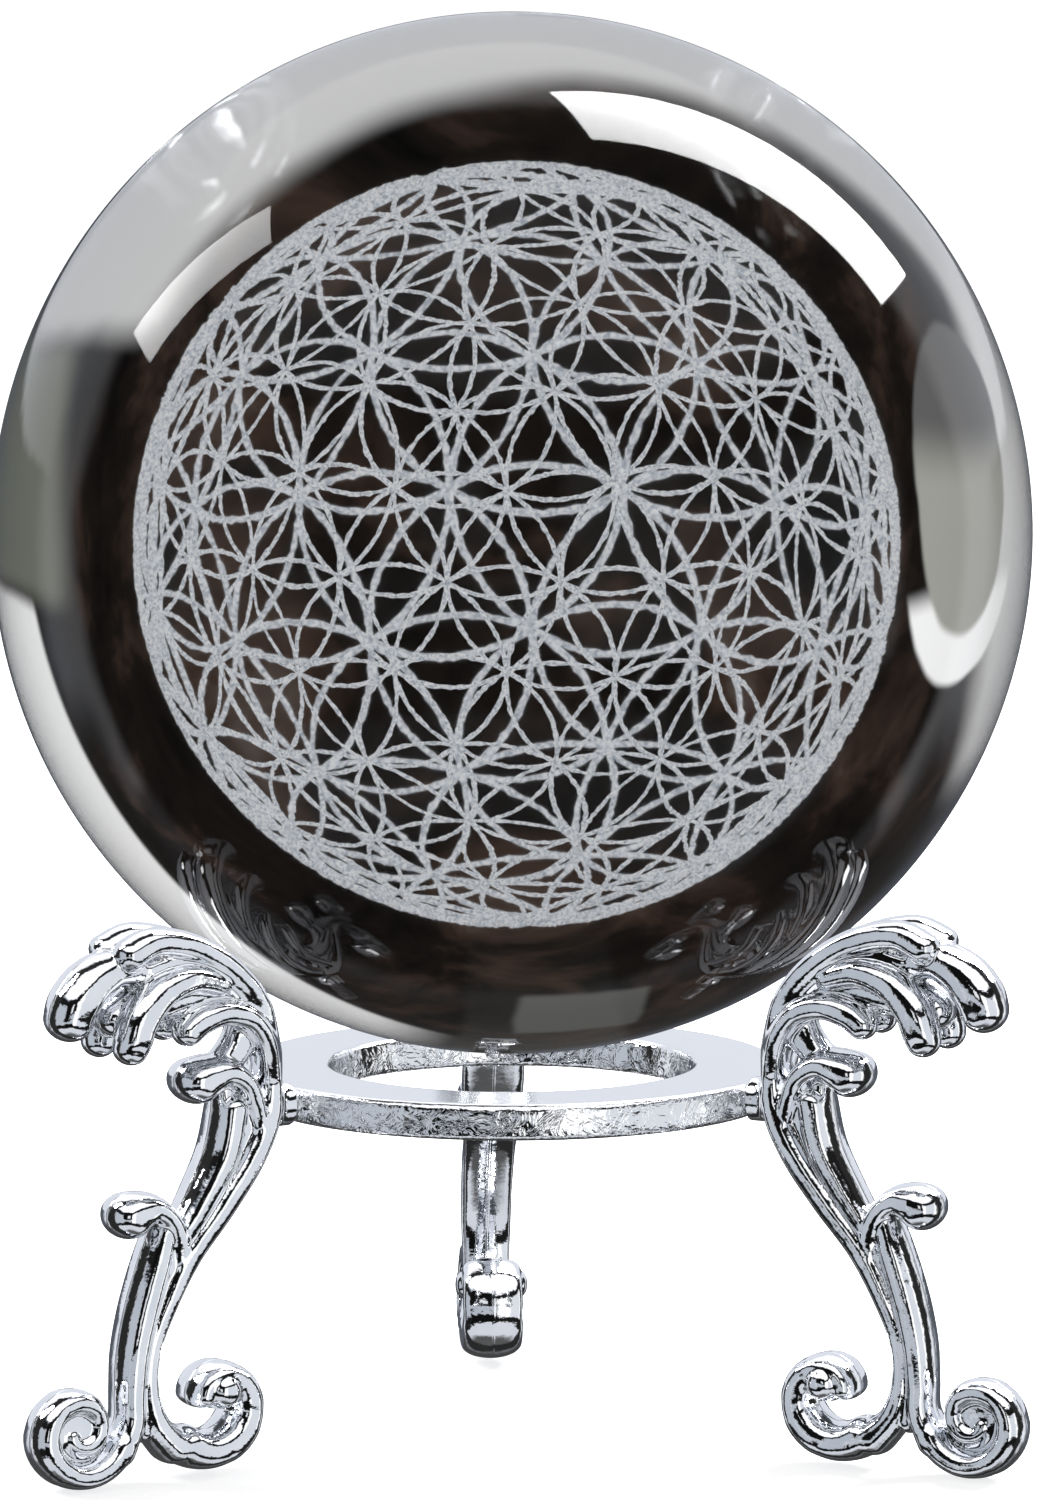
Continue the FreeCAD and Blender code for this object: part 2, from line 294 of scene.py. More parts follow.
def leg_field(step):
    """The leg's signed distance on a grid: every strand blended with the ones before."""
    out = np.arange(RING_OUTER / MM - FIELD_INWARD, FIELD_OUT, step)
    up = np.arange(FIELD_LOW, FIELD_HIGH, step)
    across = np.arange(-FIELD_SIDE, FIELD_SIDE + step / 2, step)
    flat = np.stack(np.meshgrid(out, up, indexing="ij"), axis=-1).reshape(-1, 2)
    shape = (len(out), len(up), len(across))
    field = np.full(shape, FAR_AWAY, dtype=np.float32)
    single = (INNER_STEM, OUTER_STEM, LOWER_STEM, STEM_WEB, UPPER_SCROLL, LOWER_SCROLL)
    single += (SHOULDER, MIDDLE_FINGER, CREST_WEB, THROAT_WEB, SCROLL_WEB)
    strands = [refined(s) for s in single]
    for pair in (TOP_FINGER, SIDE_FINGER, INNER_FINGER):
        rows = refined(pair)
        mirrored = rows.copy()
        mirrored[:, 2] *= -1
        strands += [rows, mirrored]
    strands += spiral_arcs(*INNER_CURL) + spiral_arcs(*OUTER_CURL)
    for out_at, up_at, radius, depth in (INNER_KNOB, OUTER_KNOB):
        near = [out_at, up_at, 0, radius, depth]
        far = [out_at + KNOB_LENGTH, up_at, 0, radius, depth]
        strands.append(np.array([near, far]))
    for rows in strands:
        low = (rows[:, :2] - rows[:, 3:4]).min(axis=0) - FIELD_MARGIN
        high = (rows[:, :2] + rows[:, 3:4]).max(axis=0) + FIELD_MARGIN
        i0, i1 = np.searchsorted(out, (low[0], high[0]))
        j0, j1 = np.searchsorted(up, (low[1], high[1]))
        here = flat.reshape(len(out), len(up), 2)[i0:i1, j0:j1].reshape(-1, 2)
        value = strand_field(rows, here, across).reshape(i1 - i0, j1 - j0, len(across))
        field[i0:i1, j0:j1] = smooth_min(field[i0:i1, j0:j1], value, FUSION)
    # the round boss towards the ring, cut square where it meets the ring's edge
    mid = RING_MID / MM
    radial = np.sqrt((up[None, :, None] - mid) ** 2 + across[None, None, :] ** 2)
    boss = np.maximum(radial - BOSS_RADIUS, out[:, None, None] - BOSS_END)
    field = smooth_min(field, boss.astype(np.float32), BOSS_FUSION)
    edge = np.sqrt(out[:, None, None] ** 2 + across[None, None, :] ** 2)
    field = np.maximum(field, RING_OUTER / MM - edge)
    field = np.maximum(field, -up[None, :, None])
    return field, np.array([out[0], up[0], across[0]])


def surface_net(field):
    """A quad mesh on the field's zero level, one vertex in each cell that it crosses."""
    inside = field < 0
    cells = tuple(n - 1 for n in field.shape)
    total = np.zeros(cells + (3,), np.float32)
    count = np.zeros(cells, np.float32)
    crossings = []
    for axis in range(3):
        low = [slice(None)] * 3
        high = [slice(None)] * 3
        low[axis] = slice(0, -1)
        high[axis] = slice(1, None)
        a = field[tuple(low)]
        b = field[tuple(high)]
        where = np.argwhere(inside[tuple(low)] != inside[tuple(high)])
        va = a[tuple(where.T)]
        vb = b[tuple(where.T)]
        crossing = where.astype(np.float32)
        crossing[:, axis] += va / (va - vb)
        others = [o for o in range(3) if o != axis]
        crossings.append((axis, others, where, va < 0))
        for du in (0, 1):
            for dv in (0, 1):
                cell = where.copy()
                cell[:, others[0]] -= du
                cell[:, others[1]] -= dv
                ok = np.all((cell >= 0) & (cell < np.array(cells)), axis=1)
                index = tuple(cell[ok].T)
                np.add.at(total, index, crossing[ok])
                np.add.at(count, index, 1.0)
    used = count > 0
    number = np.full(cells, -1, np.int64)
    number[used] = np.arange(used.sum())
    vertices = total[used] / count[used][:, None]
    quads = []
    for axis, others, where, starts_inside in crossings:
        u, v = others
        ok = (where[:, u] > 0) & (where[:, v] > 0)
        ok &= (where[:, u] < cells[u]) & (where[:, v] < cells[v])
        where = where[ok]
        starts_inside = starts_inside[ok]
        corners = []
        for du, dv in ((1, 1), (0, 1), (0, 0), (1, 0)):
            cell = where.copy()
            cell[:, u] -= du
            cell[:, v] -= dv
            corners.append(number[tuple(cell.T)])
        quad = np.stack(corners, axis=1)
        turn = starts_inside if axis != 1 else ~starts_inside
        quad[turn] = quad[turn][:, ::-1]
        quads.append(quad)
    return vertices, np.concatenate(quads)


def sample(field, points):
    """The field between its grid points."""
    low = np.floor(points).astype(int)
    low = np.clip(low, 0, np.array(field.shape) - 2)
    part = points - low
    value = np.zeros(len(points))
    for corner in range(8):
        bits = np.array([(corner >> k) & 1 for k in range(3)])
        weight = np.prod(np.where(bits, part, 1 - part), axis=1)
        value += weight * field[tuple((low + bits).T)]
    return value


def settle(field, points):
    """Moves the vertices onto the zero level along the field's slope."""
    nudge = 0.5
    for _ in range(SETTLE_ROUNDS):
        value = sample(field, points)
        rises = []
        for side in nudge * np.eye(3):
            rises.append(sample(field, points + side) - sample(field, points - side))
        slope = np.stack(rises, axis=1) / (2 * nudge)
        square = np.maximum((slope**2).sum(axis=1), TINY)
        move = -value[:, None] * slope / square[:, None]
        points = points + np.clip(move, -nudge, nudge)
    return points


def mesh_from(name, vertices, faces):
    mesh = bpy.data.meshes.new(name)
    mesh.from_pydata([tuple(v) for v in vertices], [], [tuple(int(i) for i in f) for f in faces])
    mesh.validate()
    mesh.polygons.foreach_set("use_smooth", [True] * len(mesh.polygons))
    mesh.update()
    return mesh


def place(name, mesh):
    piece = bpy.data.objects.new(name, mesh)
    bpy.context.scene.collection.objects.link(piece)
    return piece


def make_leg_mesh():
    step = FINE_STEP
    field, origin = leg_field(step)
    points, quads = surface_net(field)
    points = settle(field, points)
    world = origin + points * step
    # the mesh lies with distance along X, across along Y and height along Z, in metres
    vertices = np.stack([world[:, 0], world[:, 2], world[:, 1]], axis=1) * MM
    return mesh_from("leg", vertices, quads)


# ---------------------------------------------------------------- the ring
RING_SEGMENTS = 360
RING_INNER = 14.1 * MM
RING_ROUND = 0.45 * MM
CORNER_STEPS = 5
PROFILE_STEP = 0.45 * MM
TOP_DEPTH = 0.5 * MM  # the turned top fades into the cast walls over this depth
WALL_MIDDLE = 17.0 * MM
SLOW_DENTS = (420.0, 0.030 * MM)  # noise scale and depth
FINE_DENTS = (1300.0, 0.022 * MM)


def ring_profile():
    """The ring's section as (radius, height), from the underside round the outer wall."""
    corners = [
        (RING_OUTER - RING_ROUND, RING_BOTTOM + RING_ROUND, -90.0),
        (RING_OUTER - RING_ROUND, RING_TOP - RING_ROUND, 0.0),
        (RING_INNER + RING_ROUND, RING_TOP - RING_ROUND, 90.0),
        (RING_INNER + RING_ROUND, RING_BOTTOM + RING_ROUND, 180.0),
    ]
    points = []
    for radius, height, start in corners:
        for step in range(CORNER_STEPS + 1):
            angle = math.radians(start + 90.0 * step / CORNER_STEPS)
            points.append((radius + RING_ROUND * math.cos(angle), height + RING_ROUND * math.sin(angle)))
    full = []
    for index, (radius, height) in enumerate(points):
        ahead = points[(index + 1) % len(points)]
        gap = math.hypot(ahead[0] - radius, ahead[1] - height)
        parts = max(1, round(gap / PROFILE_STEP))
        for step in range(parts):
            part = step / parts
            full.append((radius + (ahead[0] - radius) * part, height + (ahead[1] - height) * part))
    return full


def make_ring_mesh():
    """The ring as a turned section, with a smooth top and crumpled walls."""
    profile = ring_profile()
    count = len(profile)
    vertices = []
    for segment in range(RING_SEGMENTS):
        angle = 2 * math.pi * segment / RING_SEGMENTS
        for radius, height in profile:
            rough = min(1.0, max(0.0, (RING_TOP - height) / TOP_DEPTH))
            point = Vector((radius * math.cos(angle), radius * math.sin(angle), height))
            wave = sum(noise.noise(point * scale) * depth for scale, depth in (SLOW_DENTS, FINE_DENTS))
            outward = 1.0 if radius > WALL_MIDDLE else -1.0
            reach = radius + wave * rough * outward
            vertices.append((reach * math.cos(angle), reach * math.sin(angle), height))
    faces = []
    for segment in range(RING_SEGMENTS):
        after = (segment + 1) % RING_SEGMENTS
        for index in range(count):
            up = (index + 1) % count
            faces.append(
                (segment * count + index, after * count + index, after * count + up, segment * count + up)
            )
    return mesh_from("seat_ring_cast", vertices, faces)


# ---------------------------------------------------------------- the ball and its engraving
BALL_SUBDIVISIONS = 7
ENGRAVED_RADIUS = 0.4815 * BALL_RADIUS
LINE_RADIUS = 0.142 * MM
LINE_SIDES = 4
ARC_STEPS = 26
ENGRAVED_DROP = Vector((0.25, 0.0, -0.62)) * MM
ENGRAVING_TURN = (20.0, 29.5, 142.5)
SPREAD_ROUNDS = 200
SPREAD_PUSH = 0.3
EDGE_SLACK = 0.01
THICKNESS_NOISE = (3400.0, 0.60)  # noise scale and share of the line's radius
WANDER_NOISE = (2100.0, 0.5)


def make_ball_mesh():
    work = bmesh.new()
    bmesh.ops.create_icosphere(work, subdivisions=BALL_SUBDIVISIONS, radius=BALL_RADIUS)
    for vertex in work.verts:
        vertex.co = vertex.co.normalized() * BALL_RADIUS + BALL_CENTRE
    mesh = bpy.data.meshes.new("glass_ball")
    work.to_mesh(mesh)
    work.free()
    mesh.polygons.foreach_set("use_smooth", [True] * len(mesh.polygons))
    return mesh


def unit(vector):
    return vector / np.linalg.norm(vector)


def icosahedron():
    """The 12 corners on a unit sphere, and the 20 faces between them."""
    golden = (1 + 5**0.5) / 2
    corners = []
    for a in (-1, 1):
        for b in (-golden, golden):
            corners += [(0, a, b), (a, b, 0), (b, 0, a)]
    corners = [unit(np.array(c, float)) for c in corners]
    edge = min(np.linalg.norm(corners[0] - c) for c in corners[1:])
    faces = []
    for i in range(12):
        for j in range(i + 1, 12):
            for k in range(j + 1, 12):
                sides = (corners[i] - corners[j], corners[j] - corners[k], corners[i] - corners[k])
                if all(abs(np.linalg.norm(side) - edge) < EDGE_SLACK for side in sides):
                    faces.append((i, j, k))
    return corners, faces


def lattice():
    """The pattern's 122 nodes, evenly spread on a sphere, and the 240 triangles between them."""
    corners, faces = icosahedron()
    base = corners + [unit(corners[a] + corners[b] + corners[c]) for a, b, c in faces]
    base_triangles = []
    for i, face in enumerate(faces):
        for j in range(i + 1, len(faces)):
            shared = sorted(set(face) & set(faces[j]))
            if len(shared) == 2:
                base_triangles += [(corner, 12 + i, 12 + j) for corner in shared]
    nodes = list(base)
    middles = {}

    def middle(a, b):
        key = (min(a, b), max(a, b))
        if key not in middles:
            middles[key] = len(nodes)
            nodes.append(unit(base[a] + base[b]))
        return middles[key]

    triangles = []
    for a, b, c in base_triangles:
        ab, bc, ca = middle(a, b), middle(b, c), middle(c, a)
        triangles += [(a, ab, ca), (ab, b, bc), (ca, bc, c), (ab, bc, ca)]
    return spread(np.array(nodes), triangles), triangles


def spread(nodes, triangles):
    """Evens out the distances between neighbouring nodes."""
    edges = set()
    for triangle in triangles:
        for a, b in ((0, 1), (1, 2), (0, 2)):
            edges.add(tuple(sorted((triangle[a], triangle[b]))))
    edges = np.array(sorted(edges))
    for _ in range(SPREAD_ROUNDS):
        gap = nodes[edges[:, 1]] - nodes[edges[:, 0]]
        length = np.linalg.norm(gap, axis=1)
        push = ((length - length.mean()) * SPREAD_PUSH / length)[:, None] * gap
        shift = np.zeros_like(nodes)
        np.add.at(shift, edges[:, 0], push)
        np.add.at(shift, edges[:, 1], -push)
        nodes = nodes + shift
        nodes /= np.linalg.norm(nodes, axis=1)[:, None]
    return nodes


def make_engraving_mesh():
    """The flower pattern: in each triangle, every side's arc is drawn round the opposite node."""
    nodes, triangles = lattice()
    turn = Euler([math.radians(a) for a in ENGRAVING_TURN]).to_matrix()
    nodes = [turn @ Vector(n) for n in nodes]
    vertices = []
    faces = []
    for triangle in triangles:
        for spin in range(3):
            start = nodes[triangle[spin]]
            end = nodes[triangle[(spin + 1) % 3]]
            hub = nodes[triangle[(spin + 2) % 3]]
            add_arc(vertices, faces, start, end, hub)
    return mesh_from("engraving", vertices, faces)


def add_arc(vertices, faces, start, end, hub):
    """A thin tube on the sphere from start to end, along the circle round hub."""
    far_start = hub.angle(start)
    far_end = hub.angle(end)
    arm_start = (start - hub * start.dot(hub)).normalized()
    arm_end = (end - hub * end.dot(hub)).normalized()
    opening = arm_start.angle(arm_end)
    axis_side = (arm_end - arm_start * arm_end.dot(arm_start)).normalized()
    path = []
    for step in range(ARC_STEPS + 1):
        part = step / ARC_STEPS
        arm = arm_start * math.cos(opening * part) + axis_side * math.sin(opening * part)
        far = far_start + (far_end - far_start) * part
        path.append(hub * math.cos(far) + arm * math.sin(far))
    base = len(vertices)
    for index, point in enumerate(path):
        along = (path[min(index + 1, ARC_STEPS)] - path[max(index - 1, 0)]).normalized()
        side = point.cross(along).normalized()
        centre = BALL_CENTRE + ENGRAVED_DROP + point * ENGRAVED_RADIUS
        scale, share = THICKNESS_NOISE
        thick = LINE_RADIUS * (1.0 + share * noise.noise(centre * scale))
        scale, share = WANDER_NOISE
        centre = centre + side * LINE_RADIUS * share * noise.noise(centre * scale + point)
        for corner in range(LINE_SIDES):
            angle = 2 * math.pi * corner / LINE_SIDES
            reach = side * math.cos(angle) + point * math.sin(angle)
            vertices.append(centre + reach * thick)
    for index in range(ARC_STEPS):
        for corner in range(LINE_SIDES):
            ahead = (corner + 1) % LINE_SIDES
            a = base + index * LINE_SIDES
            b = a + LINE_SIDES
            faces.append((a + corner, a + ahead, b + ahead, b + corner))
    faces.append(tuple(base + c for c in reversed(range(LINE_SIDES))))
    top = base + ARC_STEPS * LINE_SIDES
    faces.append(tuple(top + c for c in range(LINE_SIDES)))


# ---------------------------------------------------------------- materials
def new_material(name):
    material = bpy.data.materials.new(name)
    material.use_nodes = True
    tree = material.node_tree
    shader = tree.nodes["Principled BSDF"]
    return material, tree, shader


def opaque(colour):
    return (*colour, 1.0)


def grey(value):
    return (value, value, value)


def object_coordinates(tree):
    return tree.nodes.new("ShaderNodeTexCoord").outputs["Object"]


def noise_node(tree, source, scale, detail=2.0, roughness=0.5, distortion=0.0):
    node = tree.nodes.new("ShaderNodeTexNoise")
    node.inputs["Scale"].default_value = scale
    node.inputs["Detail"].default_value = detail
    node.inputs["Roughness"].default_value = roughness
    node.inputs["Distortion"].default_value = distortion
    tree.links.new(source, node.inputs["Vector"])
    return node.outputs["Fac"]


def math_node(tree, operation, *values, clamp=False):
    """A Math node whose inputs are numbers or other nodes' outputs."""
    node = tree.nodes.new("ShaderNodeMath")
    node.operation = operation
    node.use_clamp = clamp
    for socket, value in zip(node.inputs, values):
        if isinstance(value, (int, float)):
            socket.default_value = value
        else:
            tree.links.new(value, socket)
    return node.outputs[0]


def ramp_node(tree, source, stops):
    """Colours from a list of (position, colour)."""
    node = tree.nodes.new("ShaderNodeValToRGB")
    ramp = node.color_ramp
    while len(ramp.elements) < len(stops):
        ramp.elements.new(0.5)
    for element, (position, colour) in zip(ramp.elements, stops):
        element.position = position
        element.color = opaque(colour)
    tree.links.new(source, node.inputs["Fac"])
    return node.outputs["Color"]


def bump_node(tree, height, distance, before=None):
    """A bump, distance deep in metres, on top of the bump before it."""
    node = tree.nodes.new("ShaderNodeBump")
    node.inputs["Strength"].default_value = 1.0
    node.inputs["Distance"].default_value = distance
    tree.links.new(height, node.inputs["Height"])
    if before is not None:
        tree.links.new(before, node.inputs["Normal"])
    return node.outputs["Normal"]


SEAM_EDGE = 0.16 * MM
SEAM_CORE = 0.02 * MM
SEAM_RISE = 0.03 * MM


def chrome_material():
    """Bright plating over a cast surface, with the mould's seam along the middle of the leg."""
    material, tree, shader = new_material("cast_chrome")
    place_at = object_coordinates(tree)
    shader.inputs["Metallic"].default_value = 1.0
    cloud = noise_node(tree, place_at, 350.0)
    tint = ramp_node(tree, cloud, [(0.3, (0.80, 0.82, 0.85)), (0.7, (0.90, 0.91, 0.93))])
    tree.links.new(tint, shader.inputs["Base Color"])
    haze = noise_node(tree, place_at, 900.0, 3.0)
    shine = ramp_node(tree, haze, [(0.35, grey(0.035)), (0.75, grey(0.085))])
    tree.links.new(shine, shader.inputs["Roughness"])
    slow = bump_node(tree, noise_node(tree, place_at, 420.0, 1.0), 0.08 * MM)
    fine = bump_node(tree, noise_node(tree, place_at, 1900.0), 0.02 * MM, before=slow)
    parts = tree.nodes.new("ShaderNodeSeparateXYZ")
    tree.links.new(place_at, parts.inputs[0])
    across = math_node(tree, "ABSOLUTE", parts.outputs[1])
    seam = step_node(tree, across, SEAM_EDGE, SEAM_CORE)
    line = bump_node(tree, seam, SEAM_RISE, before=fine)
    tree.links.new(line, shader.inputs["Normal"])
    return material


RING_TINT = (0.88, 0.89, 0.91)
LATHE_WAVES = 26000.0  # radians per metre of radius
LATHE_DEPTH = 0.0012 * MM
EDGE_DEPTH = 0.05 * MM
CRUMPLE_DEPTH = 0.21 * MM
TOP_ROUGHNESS = 0.14
WALL_SHINE = -0.05  # added to the roughness on the walls


def ring_material():
    """Bright plating, turned on top and crumpled on the walls."""
    material, tree, shader = new_material("ring_chrome")
    place_at = object_coordinates(tree)
    shader.inputs["Metallic"].default_value = 1.0
    shader.inputs["Base Color"].default_value = opaque(RING_TINT)
    parts = tree.nodes.new("ShaderNodeSeparateXYZ")
    tree.links.new(place_at, parts.inputs[0])
    x, y, z = parts.outputs
    squares = math_node(tree, "ADD", product(tree, x, x), product(tree, y, y))
    radius = math_node(tree, "SQRT", squares)
    turned = math_node(tree, "SINE", math_node(tree, "MULTIPLY", radius, LATHE_WAVES))
    depth = math_node(tree, "SUBTRACT", RING_TOP - EDGE_DEPTH, z)
    rough_wall = math_node(tree, "MULTIPLY", depth, 1 / TOP_DEPTH, clamp=True)
    flat_top = math_node(tree, "SUBTRACT", 1.0, rough_wall)
    shine = math_node(tree, "MULTIPLY_ADD", rough_wall, WALL_SHINE, TOP_ROUGHNESS)
    tree.links.new(shine, shader.inputs["Roughness"])
    crumple = product(tree, noise_node(tree, place_at, 560.0, 3.0, 0.55, 1.6), rough_wall)
    walls = bump_node(tree, crumple, CRUMPLE_DEPTH)
    lathe = bump_node(tree, product(tree, turned, flat_top), LATHE_DEPTH, before=walls)
    tree.links.new(lathe, shader.inputs["Normal"])
    return material


def glass_material():
    material, _, shader = new_material("clear_glass")
    shader.inputs["Base Color"].default_value = opaque((0.985, 0.99, 0.99))
    shader.inputs["Roughness"].default_value = 0.035
    shader.inputs["IOR"].default_value = 1.517
    shader.inputs["Specular Tint"].default_value = opaque(grey(0.15))
    shader.inputs["Transmission Weight"].default_value = 1.0
    return material


def engraving_material():
    """White ground marks, speckled, with a painted glow: a little emission stands in for the light that
    the glass keeps from them.
    """
    material, tree, shader = new_material("engraved_lines")
    place_at = object_coordinates(tree)
    speckle = noise_node(tree, place_at, 5200.0)
    white = ramp_node(tree, speckle, [(0.3, (0.36, 0.40, 0.46)), (0.62, (0.88, 0.89, 0.91))])
    tree.links.new(white, shader.inputs["Base Color"])
    tree.links.new(white, shader.inputs["Emission Color"])
    shader.inputs["Roughness"].default_value = 0.65
    # painted glow: the marks give off light of their own, though they are no lamp
    shader.inputs["Emission Strength"].default_value = 0.25
    return material


def steel_material():
    material, tree, shader = new_material("stud_steel")
    place_at = object_coordinates(tree)
    shader.inputs["Metallic"].default_value = 1.0
    cloud = noise_node(tree, place_at, 1500.0)
    tint = ramp_node(tree, cloud, [(0.3, (0.42, 0.42, 0.43)), (0.7, (0.58, 0.58, 0.60))])
    tree.links.new(tint, shader.inputs["Base Color"])
    shader.inputs["Roughness"].default_value = 0.35
    return material


# ---------------------------------------------------------------- the studio, drawn as directions
# The studio is a world of soft-edged patches. x, y and z are the parts of a ray's unit direction:
# x to the right, y away from the front, z up. Metal and glass each see a room of their own.
WHITE = grey(1.0)
METAL_WAVER = (2.6, 0.12)  # noise scale and amount
GLASS_WAVER = (3.0, 0.05)

# patches that the metal sees, from low to high, with angles in radians round the vertical
FRONT_ANGLES = (-0.92, 0.16)
LEFT_ANGLES = (-1.60, -0.92)
RIGHT_ANGLES = (0.62, 1.45)
BELT_HEIGHTS = (0.34, 0.55)
STRIP_HEIGHTS = (-0.23, -0.05)
PANE_ANGLES = (-0.42, -0.16)
PANE_HEIGHTS = (0.04, 0.30)
SLOT_DEPTHS = (0.02, 0.42)
TENT_NEAR = grey(1.25)
TENT_FAR = (0.80, 0.83, 0.90)
TENT_LEFT = (0.52, 0.56, 0.62)
TENT_RIGHT = (0.78, 0.81, 0.86)
BELT = grey(0.012)
FRONT_DARK = grey(0.006)
FRONT_STRIP = (0.52, 0.55, 0.60)
FRONT_PANE = (0.85, 0.86, 0.88)
FAR_WALL = (0.10, 0.11, 0.13)
FLOOR_NEAR = (0.72, 0.74, 0.79)
FLOOR_FAR = (0.22, 0.23, 0.25)
FLOOR_UNDER = grey(0.10)
CEILING = (1.3, 1.3, 1.35)
FLOOR_BEHIND = grey(0.06)
SLOT = grey(0.025)

# patches that the glass sees
SMOKE = [
    (0.34, (0.002, 0.002, 0.002)),
    (0.50, (0.009, 0.007, 0.006)),
    (0.62, (0.040, 0.025, 0.019)),
    (0.76, (0.095, 0.080, 0.072)),
]
TABLE_SLANT = 0.19
TABLE = grey(0.53)
SHELF_HEIGHTS = (-0.38, 0.05)
SHELF = (0.15, 0.16, 0.13)
CARD_WIDTHS = (-0.20, 0.03)
CARD_HEIGHTS = (0.70, 0.86)
CARD = (0.10, 0.10, 0.095)
WALL = grey(0.70)
WINDOW_EDGE = (0.40, -0.865, 0.30)
WINDOW = grey(0.96)
PANEL_CENTRE = (-0.71, -0.165)  # x and z
PANEL_REACH = (0.14, 0.265)
PANEL_LOW = grey(0.12)
PANEL_HIGH = (0.36, 0.36, 0.33)
GLOW = grey(0.95)


def step_node(tree, source, start, end):
    """Rises smoothly from 0 at start to 1 at end; falls where end is below start."""
    node = tree.nodes.new("ShaderNodeMapRange")
    node.interpolation_type = "SMOOTHSTEP"
    tree.links.new(source, node.inputs["Value"])
    node.inputs["From Min"].default_value = min(start, end)
    node.inputs["From Max"].default_value = max(start, end)
    node.inputs["To Min"].default_value = 0.0 if end > start else 1.0
    node.inputs["To Max"].default_value = 1.0 if end > start else 0.0
    return node.outputs["Result"]


def product(tree, *factors):
    """All the factors multiplied."""
    result = factors[0]
    for factor in factors[1:]:
        result = math_node(tree, "MULTIPLY", result, factor)
    return result


def mixed(tree, amount, below, above):
    """The colour below, covered by the colour above as far as amount says."""
    node = tree.nodes.new("ShaderNodeMixRGB")
    tree.links.new(amount, node.inputs["Fac"])
    for socket, colour in ((node.inputs["Color1"], below), (node.inputs["Color2"], above)):
        if isinstance(colour, tuple):
            socket.default_value = opaque(colour)
        else:
            tree.links.new(colour, socket)
    return node.outputs["Color"]


def wavering(tree, direction, scale, amount):
    """The direction, shifted a little to and fro, as cloth and card edges are never straight."""
    cloud = tree.nodes.new("ShaderNodeTexNoise")
    cloud.inputs["Scale"].default_value = scale
    cloud.inputs["Detail"].default_value = 3.0
    tree.links.new(direction, cloud.inputs["Vector"])
    shift = tree.nodes.new("ShaderNodeVectorMath")
    shift.operation = "MULTIPLY_ADD"
    tree.links.new(cloud.outputs["Color"], shift.inputs[0])
    shift.inputs[1].default_value = grey(amount)
    tree.links.new(direction, shift.inputs[2])
    centred = tree.nodes.new("ShaderNodeVectorMath")
    centred.operation = "SUBTRACT"
    tree.links.new(shift.outputs[0], centred.inputs[0])
    centred.inputs[1].default_value = grey(amount / 2)
    parts = tree.nodes.new("ShaderNodeSeparateXYZ")
    tree.links.new(centred.outputs[0], parts.inputs[0])
    return parts.outputs


def between(tree, source, limits, edge):
    """1 where source lies between the limits, with soft edges."""
    low, high = limits
    rising = step_node(tree, source, low - edge, low + edge)
    falling = step_node(tree, source, high + edge, high - edge)
    return math_node(tree, "MULTIPLY", rising, falling)


def front_for_metal(tree, azimuth, z):
    """The dark opening in front, with a pale strip across and a bright pane in it."""
    front = mixed(tree, between(tree, z, STRIP_HEIGHTS, 0.025), FRONT_DARK, FRONT_STRIP)
    pane = product(
        tree,
        between(tree, azimuth, PANE_ANGLES, 0.02),
        between(tree, z, PANE_HEIGHTS, 0.02),
    )
    return mixed(tree, pane, front, FRONT_PANE)


def studio_for_metal(tree, direction):
    """A white tent with dark belts above and below eye level, open and dark in front."""
    x, y, z = wavering(tree, direction, *METAL_WAVER)
    forward = math_node(tree, "MULTIPLY", y, -1.0)
    azimuth = math_node(tree, "ARCTAN2", x, forward)
    tent = mixed(tree, step_node(tree, y, 0.25, 0.60), TENT_NEAR, TENT_FAR)
    tent = mixed(tree, between(tree, azimuth, LEFT_ANGLES, 0.05), tent, TENT_LEFT)
    tent = mixed(tree, between(tree, azimuth, RIGHT_ANGLES, 0.06), tent, TENT_RIGHT)
    level = math_node(tree, "ABSOLUTE", z)
    belts = product(tree, between(tree, level, BELT_HEIGHTS, 0.03), step_node(tree, y, 0.45, 0.20))
    sides = mixed(tree, belts, tent, BELT)
    front = front_for_metal(tree, azimuth, z)
    sides = mixed(tree, between(tree, azimuth, FRONT_ANGLES, 0.05), sides, front)
    far_wall = product(tree, step_node(tree, y, 0.55, 0.70), step_node(tree, z, 0.05, 0.02))
    sides = mixed(tree, far_wall, sides, FAR_WALL)
    floor = mixed(tree, step_node(tree, y, 0.1, 0.5), FLOOR_NEAR, FLOOR_FAR)
    floor = mixed(tree, step_node(tree, z, -0.80, -0.94), floor, FLOOR_UNDER)
    room = mixed(tree, step_node(tree, z, -0.58, -0.54), floor, sides)
    room = mixed(tree, step_node(tree, z, 0.56, 0.62), room, CEILING)
    behind = product(tree, step_node(tree, y, 0.40, 0.60), step_node(tree, z, -0.30, -0.45))
    room = mixed(tree, behind, room, FLOOR_BEHIND)
    return mixed(tree, between(tree, y, SLOT_DEPTHS, 0.05), room, SLOT)


def round_panel(tree, x, z):
    """Below 1 inside the round panel at the left, above 1 outside it."""
    across = math_node(tree, "ADD", x, -PANEL_CENTRE[0])
    across = math_node(tree, "MULTIPLY", across, 1 / PANEL_REACH[0])
    upright = math_node(tree, "ADD", z, -PANEL_CENTRE[1])
    upright = math_node(tree, "MULTIPLY", upright, 1 / PANEL_REACH[1])
    return math_node(tree, "ADD", product(tree, across, across), product(tree, upright, upright))


